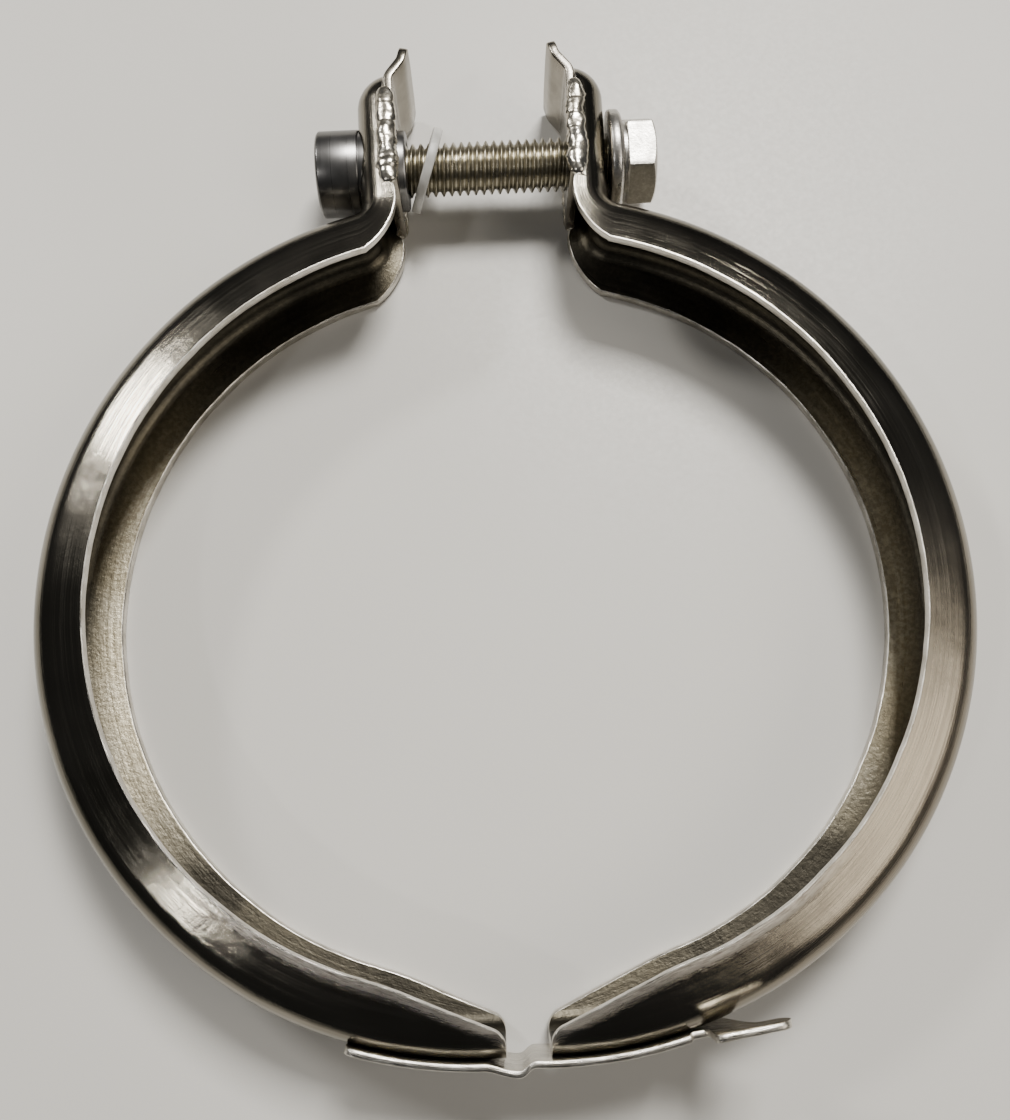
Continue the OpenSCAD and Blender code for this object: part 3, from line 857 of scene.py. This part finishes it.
def hinge_strap():
    """The whole spring strip in one piece, with its shallow kink across the gap."""
    rows = []
    soft = STRAP_SOFT
    for p, normal, low, high in strap_path():
        row = []
        for t in steps(0.0, 1.0, STRAP_POINTS):
            z = lerp(low + soft * (t == 0), high - soft * (t == 1), t)
            row.append(tuple(p + normal * STRAP / 2 + Vector((0, 0, z))))
        row.append(tuple(p + normal * (STRAP / 2 - soft) + Vector((0, 0, high))))
        row.append(tuple(p - normal * (STRAP / 2 - soft) + Vector((0, 0, high))))
        for t in steps(1.0, 0.0, STRAP_POINTS):
            z = lerp(low + soft * (t == 0), high - soft * (t == 1), t)
            row.append(tuple(p - normal * STRAP / 2 + Vector((0, 0, z))))
        row.append(tuple(p - normal * (STRAP / 2 - soft) + Vector((0, 0, low))))
        row.append(tuple(p + normal * (STRAP / 2 - soft) + Vector((0, 0, low))))
        rows.append(row)
    top = STRAP_POINTS - 1
    bottom = 2 * STRAP_POINTS + 1
    edges = (top, top + 1, top + 2, bottom, bottom + 1, bottom + 2)
    obj = sweep("hinge_strap", rows, [STRAP_STEEL, EDGE],
                pick=lambda i, j: 1 if j in edges else 0, sharp=50, cap_pick=1)
    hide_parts("hinge_strap_left", "hinge_strap_right")
    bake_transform(obj)


# Radius and height of a weld mark's surface, from its middle outward.
SPOT_PROFILE = ((0.15, 0.04), (0.9, 0.06), (1.4, 0.12), (1.75, 0.22), (1.95, 0.24), (2.1, 0.16), (2.2, -0.1))
SPOT_ANGLES = (7, 14)
SPOT_HEIGHT = 0.8


def spot_welds(name, side, body):
    """Two pressed spot-weld marks on the strap, each a dished disc with a raised rim."""
    parts = []
    for k, angle in enumerate(SPOT_ANGLES):
        a = math.radians(angle)
        out = Vector((math.sin(a), -math.cos(a), 0))
        forward = Vector((math.cos(a), math.sin(a), 0))
        rows = []
        for r, h in SPOT_PROFILE:
            row = []
            for j in range(40):
                t = 2 * math.pi * j / 40
                wob = 1 + 0.03 * rough_noise(math.cos(t), math.sin(t), k + side)
                p = out * (RING_R + STRAP + 0.03 + h) + forward * (r * wob * math.cos(t))
                row.append((p.x, p.y, SPOT_HEIGHT + r * wob * math.sin(t)))
            rows.append(row)
        parts.append(sweep(f"{name}_{k}", placed(rows, half_matrix(side)), [WELD], sharp=50, flip=side < 0))
    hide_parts(name)
    for p in parts:
        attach(p, body)


# ---------------------------------------------------------------- bolt, nut and washers

def thread_radius(phase):
    """Radius of a metric thread at a phase from 0 to 1 along one pitch."""
    depth = 0.6 * PITCH
    t = abs(phase - 0.5) * 2
    rise = min(max((t - 0.125) / (0.78 - 0.125), 0.0), 1.0)
    return BOLT_R - 0.02 - depth * (0.15 * smooth(rise) + 0.85 * rise)


def bolt_thread():
    """The thread's real helix, run out under the head and chamfered at its tip."""
    rows = []
    per_pitch, segments = 12, 48
    total = int(BOLT_LENGTH / PITCH * per_pitch)
    for i in range(total + 1):
        s = BOLT_LENGTH * i / total
        row = []
        for j in range(segments):
            a = 2 * math.pi * j / segments
            r = thread_radius((s / PITCH - j / segments) % 1.0)
            r = lerp(BOLT_R - 0.75, r, smooth(s / 1.4))
            left = BOLT_LENGTH - s
            r = min(r, 2.95 + left * 1.0)
            r += 0.015 * rough_noise(s * 1.7, math.cos(a) * 2, math.sin(a) * 2)
            row.append((HEAD_X - s, BOLT_HEIGHT + r * math.cos(a), r * math.sin(a)))
        rows.append(row)
    for r, x in ((2.6, 0.02), (1.5, 0.04), (0.4, 0.02)):
        rows.append([(HEAD_X - BOLT_LENGTH + x, BOLT_HEIGHT + r * math.cos(2 * math.pi * j / segments),
                      r * math.sin(2 * math.pi * j / segments)) for j in range(segments)])
    return sweep("bolt_thread", rows, [THREAD_ZINC], sharp=70, flip=True)


def hex_head():
    """Hexagon with a turned chamfer on its top and a washer face under it."""
    turn = math.radians(8)
    top = COLLAR + HEX_HEIGHT
    land = HEX_FLATS / 2 - 0.25
    segments = 144

    def hex_radius(a):
        t = (a - turn) % (math.pi / 3)
        r = (HEX_FLATS / 2) / math.cos(t - math.pi / 6)
        return min(r, HEX_FLATS / 2 / math.cos(math.pi / 6) - 0.07)

    def row(kind):
        points = []
        for j in range(segments):
            a = 2 * math.pi * j / segments
            edge = hex_radius(a)
            drop = (edge - land) * math.tan(math.radians(27))
            x, r = {
                "bore": (0.02, BOLT_R - 0.2),
                "face": (0.0, HEX_FLATS / 2 - 0.35),
                "collar": (0.1, HEX_FLATS / 2 - 0.1),
                "collar_top": (COLLAR, HEX_FLATS / 2 - 0.12),
                "under": (COLLAR + 0.02, edge - 0.18),
                "side_low": (COLLAR + 0.2, edge),
                "side_mid": (lerp(COLLAR, top - drop, 0.55), edge),
                "side_top": (top - drop - 0.1, edge),
                "chamfer": (top - drop + 0.02, edge - 0.12),
                "land": (top - 0.06, land + 0.02),
                "land_in": (top, land - 0.16),
                "dish": (top - 0.02, land * 0.8),
                "dish_in": (top - 0.12, land * 0.72),
                "dish_low": (top - 0.16, land * 0.4),
                "middle": (top - 0.15, 0.3),
            }[kind]
            points.append((HEAD_X + x, BOLT_HEIGHT + r * math.cos(a), r * math.sin(a)))
        return points

    kinds = ("bore", "face", "collar", "collar_top", "under", "side_low", "side_mid", "side_top",
             "chamfer", "land", "land_in", "dish", "dish_in", "dish_low", "middle")
    return sweep("hex_head", [row(k) for k in kinds], [HEAD_ZINC], sharp=20)


def bolt():
    thread, head = bolt_thread(), hex_head()
    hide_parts("clamp_bolt")
    for piece in (thread, head):
        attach(piece, "bolt")


def thick_washer():
    """Thick washer under the head, rounded on its outer side."""
    profile = [(0.02, 4.25), (0.0, 4.6), (0.0, 7.25), (0.12, 7.55), (0.35, WASHER_R), (1.3, WASHER_R),
               (1.6, WASHER_R - 0.12), (1.9, WASHER_R - 0.5), (2.05, WASHER_R - 0.9), (2.1, 6.4),
               (2.1, 4.6), (2.05, 4.25), (1.0, 4.2)]
    rows = lathe(profile, 96, EAR_REACH + WASHER_GAP)
    rows.append(rows[0])
    obj = sweep("head_washer_ring", rows, [WASHER_STEEL], sharp=40, caps=False)
    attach(obj, "head_washer")
    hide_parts("bolt_washer")


def round_nut():
    """Round nut: a turned head, a double-D shank through the ear, and a threaded bore."""
    end = NUT_FACE + NUT_HEAD

    def flats(x, r, a):
        if x > NUT_FACE - 0.05 or r < SHANK_FLAT:
            return x, r
        return x, min(r, SHANK_FLAT / max(abs(math.cos(a)), 1e-6))

    profile = [(SHANK_END + 0.5, NUT_BORE_R), (SHANK_END, NUT_BORE_R + 0.5), (SHANK_END, SHANK_R - 0.5),
               (SHANK_END + 0.12, SHANK_R - 0.15), (SHANK_END + 0.4, SHANK_R), (NUT_FACE - 0.1, SHANK_R),
               (NUT_FACE, SHANK_R), (NUT_FACE, NUT_R - 0.2), (NUT_FACE + 0.06, NUT_R - 0.06),
               (NUT_FACE + 0.2, NUT_R), (end - 0.45, NUT_R), (end - 0.3, NUT_R - 0.04),
               (end - 0.06, NUT_R - 0.3), (end, NUT_R - 0.45), (end, NUT_BORE_R + 0.7),
               (end - 0.1, NUT_BORE_R + 0.5), (end - 0.6, NUT_BORE_R)]
    rows = lathe(profile, 96, 0.0, flats)
    bore = []
    count = 90
    for i in range(1, count):
        x = lerp(end - 0.6, SHANK_END + 0.5, i / count)
        row = []
        for j in range(96):
            a = 2 * math.pi * j / 96
            wave = 0.5 + 0.5 * math.cos(2 * math.pi * (x / PITCH + j / 96))
            r = NUT_BORE_R + 0.02 + 0.25 * wave
            row.append((x, BOLT_HEIGHT + r * math.cos(a), r * math.sin(a)))
        bore.append(row)
    rows = rows + bore + [rows[0]]
    rows = [[(-x, y, z) for x, y, z in row] for row in rows]
    obj = sweep("round_nut", rows, [NUT_STEEL], sharp=38, caps=False, flip=True)
    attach(obj, "left_half")
    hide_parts("clamp_nut")


def retaining_ring():
    """Soft plastic washer, slightly buckled, leaning on the thread."""
    half = RETAINER_T / 2
    profile = [(-half + 0.1, RETAINER_HOLE_R), (-half, RETAINER_HOLE_R + 0.12), (-half, 5.6),
               (-half, RETAINER_R - 0.2), (-half + 0.08, RETAINER_R - 0.05), (-half + 0.25, RETAINER_R),
               (half - 0.25, RETAINER_R), (half - 0.08, RETAINER_R - 0.05), (half, RETAINER_R - 0.2),
               (half, 5.6), (half, RETAINER_HOLE_R + 0.12), (half - 0.1, RETAINER_HOLE_R)]
    tilt = Matrix.Rotation(RETAINER_ROLL, 3, "X") @ Matrix.Rotation(-RETAINER_TILT, 3, "Z")
    rows = []
    for x, r in profile:
        row = []
        for j in range(96):
            a = 2 * math.pi * j / 96
            buckle = 0.06 * math.sin(2 * a + 0.6) * (r / RETAINER_R)**2
            p = tilt @ Vector((x * 0.95 + buckle, r * math.cos(a), r * math.sin(a)))
            row.append((RETAINER_X + p.x, BOLT_HEIGHT + p.y, p.z))
        rows.append(row)
    rows.append(rows[0])
    obj = sweep("retaining_ring", rows, [NYLON], sharp=50, caps=False)
    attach(obj, "retainer")
    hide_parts("retaining_washer")


# ---------------------------------------------------------------- table, light and camera

FLOOR_HALF = 1500.0
FLOOR_GAP = 0.01
SKY = (0.95, 0.96, 1.0, 1)
SKY_STRENGTH = 0.045
SENSOR = 36.0
LENS = 35.357143
CAMERA_PLACE = (-1.26, -34.67, 149.7)
CAMERA_TURN = (14.73, 0.19, -2.9)


def floor():
    """A plain pale table just under the ring."""
    z = -HALF_WIDTH - FLOOR_GAP
    signs = ((-1, -1), (1, -1), (1, 1), (-1, 1))
    corners = [(x * FLOOR_HALF * MM, y * FLOOR_HALF * MM, z * MM) for x, y in signs]
    mesh = bpy.data.meshes.new("table")
    mesh.from_pydata(corners, [], [(0, 1, 2, 3)])
    mesh.materials.append(table_top())
    obj = bpy.data.objects.new("table", mesh)
    bpy.context.scene.collection.objects.link(obj)


def lamp(name, direction, distance, size, power, colour):
    """A soft rectangular lamp that faces the clamp from a direction."""
    data = bpy.data.lights.new(name, "AREA")
    data.shape = "RECTANGLE"
    data.size, data.size_y = size
    data.energy = power
    data.color = colour
    obj = bpy.data.objects.new(name, data)
    away = Vector(direction).normalized()
    obj.location = away * distance
    obj.rotation_euler = away.to_track_quat("Z", "Y").to_euler()
    bpy.context.scene.collection.objects.link(obj)


def lights():
    """A dim sky, a strong soft lamp above the ears and three weaker ones."""
    world = bpy.data.worlds.new("studio")
    world.use_nodes = True
    world.node_tree.nodes["Background"].inputs["Color"].default_value = SKY
    world.node_tree.nodes["Background"].inputs["Strength"].default_value = SKY_STRENGTH
    bpy.context.scene.world = world
    lamp("ceiling", (0.2, 0.53, 0.83), 1.0, (0.28, 0.28), 14.5, (1.0, 0.975, 0.93))
    lamp("glint", (-0.585, 0.53, 0.62), 0.95, (0.15, 0.11), 3.2, (1.0, 0.98, 0.94))
    lamp("side", (0.66, -0.24, 0.7), 0.9, (0.5, 0.4), 2.2, (1.0, 0.93, 0.82))
    lamp("front", (-0.53, -0.3, 0.79), 0.95, (0.06, 0.04), 0.8, (1.0, 0.98, 0.95))


def camera():
    """Looks down at the ring from the strap's side, tipped toward the ears."""
    data = bpy.data.cameras.new("camera")
    data.sensor_width = SENSOR
    data.lens = LENS
    data.clip_start = 0.01
    obj = bpy.data.objects.new("camera", data)
    obj.location = tuple(c * MM for c in CAMERA_PLACE)
    obj.rotation_euler = tuple(math.radians(a) for a in CAMERA_TURN)
    bpy.context.scene.collection.objects.link(obj)
    bpy.context.scene.camera = obj


# ---------------------------------------------------------------- assembly

def shells():
    for name, side, body in (("left_shell", -1, "left_half"), ("right_shell", 1, "right_half")):
        obj = shell(name + "_skin", side)
        tool = keyed_cut(name + "_cut", side, -3.0, 2.0) if side < 0 else slot_cut(name + "_cut", side)
        cut(obj, tool)
        obj.data.polygons.foreach_set("use_smooth", [True] * len(obj.data.polygons))
        obj.data.set_sharp_from_angle(angle=math.radians(CREASE))
        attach(obj, body)
        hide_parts(name)


def build():
    camera()
    floor()
    lights()
    shells()
    for side, label, body in ((-1, "left", "left_half"), (1, "right", "right_half")):
        ear_plate(f"{label}_ear_plate", side, body)
        weld_bead(f"{label}_weld_near", side, 1, body)
        weld_bead(f"{label}_weld_far", side, -1, body)
        spot_welds(f"strap_welds_{label}", side, body)
    hinge_strap()
    bolt()
    thick_washer()
    round_nut()
    retaining_ring()


build()
